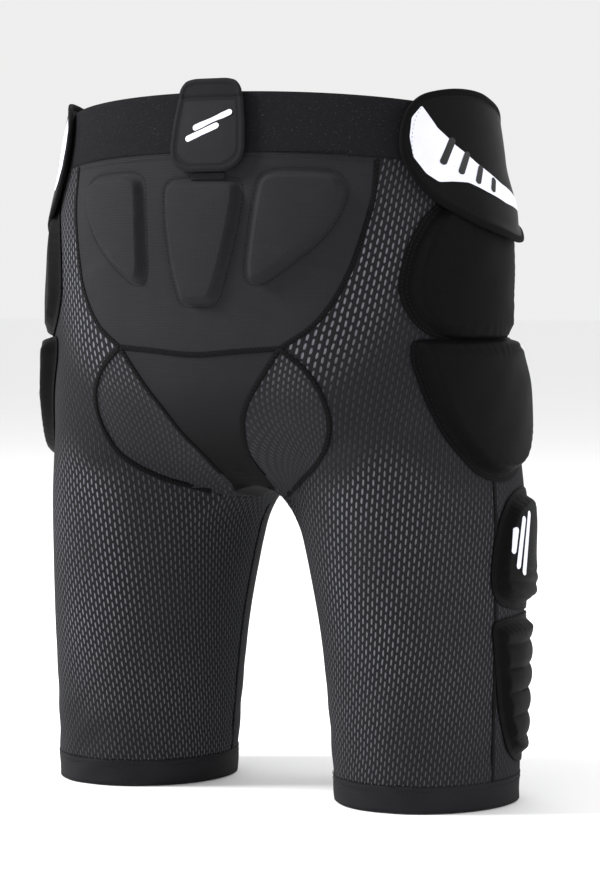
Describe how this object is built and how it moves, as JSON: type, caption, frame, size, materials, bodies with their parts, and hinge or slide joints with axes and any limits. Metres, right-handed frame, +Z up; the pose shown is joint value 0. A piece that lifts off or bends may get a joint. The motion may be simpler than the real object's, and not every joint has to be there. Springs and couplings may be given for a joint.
{
  "type": "padded impact shorts",
  "caption": "Close-fitting stretch shorts with foam armour pads at hips, thighs and tailbone, elastic waistband, hook-and-loop waist straps and a rear tab.",
  "frame": {"origin": "on the floor plane through both leg hems, under the middle of the object's box", "axes": "+Z up along the body; the wearer faces -Y, so the seat is at +Y; +X is the wearer's left"},
  "size_m": [0.3738, 0.229, 0.4895],
  "materials": {
    "waist_elastic": "matte",
    "hem_knit": "matte",
    "leg_mesh": "matte",
    "gusset_mesh": "matte",
    "front_stretch": "matte",
    "gusset_knit": "matte",
    "seat_knit": "matte",
    "lining": "matte",
    "foam": "matte",
    "pad_cover": "satin",
    "loop_tape": "matte",
    "hook_tape": "satin",
    "binding": "matte",
    "strap_cloth": "satin",
    "tab_cloth": "matte",
    "tab_panel": "satin",
    "silicone": "satin",
    "white_print": "matte",
    "thread": "matte"
  },
  "bodies": {
    "shorts": {"crotch_gusset": "gusset_knit", "front_centre_panel": "front_stretch", "front_leg_panel_left": "front_stretch", "front_leg_panel_right": "front_stretch", "hem_band_left": "hem_knit", "hem_band_right": "hem_knit", "hip_cover_left": "pad_cover", "hip_cover_right": "pad_cover", "hip_pad_left": "foam", "hip_pad_right": "foam", "inner_gusset_left": "gusset_mesh", "inner_gusset_right": "gusset_mesh", "leg_gripper_left": "silicone", "leg_gripper_right": "silicone", "outer_thigh_cover_left": "pad_cover", "outer_thigh_cover_right": "pad_cover", "outer_thigh_pad_left": "foam", "outer_thigh_pad_right": "foam", "rear_leg_mesh_left": "leg_mesh", "rear_leg_mesh_right": "leg_mesh", "seat_lining": "lining", "seat_panel": "seat_knit", "side_thigh_cover_left": "pad_cover", "side_thigh_cover_right": "pad_cover", "side_thigh_pad_left": "foam", "side_thigh_pad_right": "foam", "strap_anchor_left": "binding", "strap_anchor_right": "binding", "strap_landing_left": "loop_tape", "strap_landing_right": "loop_tape", "tab_anchor": "binding", "tab_landing": "loop_tape", "tail_pad_centre": "foam", "tail_pad_left": "foam", "tail_pad_right": "foam", "thigh_patch_cover_left": "pad_cover", "thigh_patch_cover_right": "pad_cover", "thigh_patch_pad_left": "foam", "thigh_patch_pad_right": "foam", "waistband": "waist_elastic"},
    "rear_tab": {"tab_base": "tab_cloth", "tab_hook": "hook_tape", "tab_panel": "tab_panel"},
    "strap_right": {"strap_hook_right": "hook_tape", "strap_cloth_right": "strap_cloth", "strap_binding_right": "binding"},
    "strap_left": {"strap_hook_left": "hook_tape", "strap_cloth_left": "strap_cloth", "strap_binding_left": "binding"}
  },
  "joints": [
    {"name": "rear_tab_fold", "type": "hinge", "parent": "shorts", "child": "rear_tab", "pos_m": [-0.008, 0.1034, 0.4275], "axis": [-1, 0, 0], "range_deg": [0, 100]},
    {"name": "strap_right_swing", "type": "hinge", "parent": "shorts", "child": "strap_right", "pos_m": [-0.1318, -0.0721, 0.43], "axis": [0.148, 0, 0.989], "range_deg": [0, 60]},
    {"name": "strap_left_swing", "type": "hinge", "parent": "shorts", "child": "strap_left", "pos_m": [0.1318, -0.0721, 0.43], "axis": [0.148, 0, -0.989], "range_deg": [0, 60]}
  ]
}
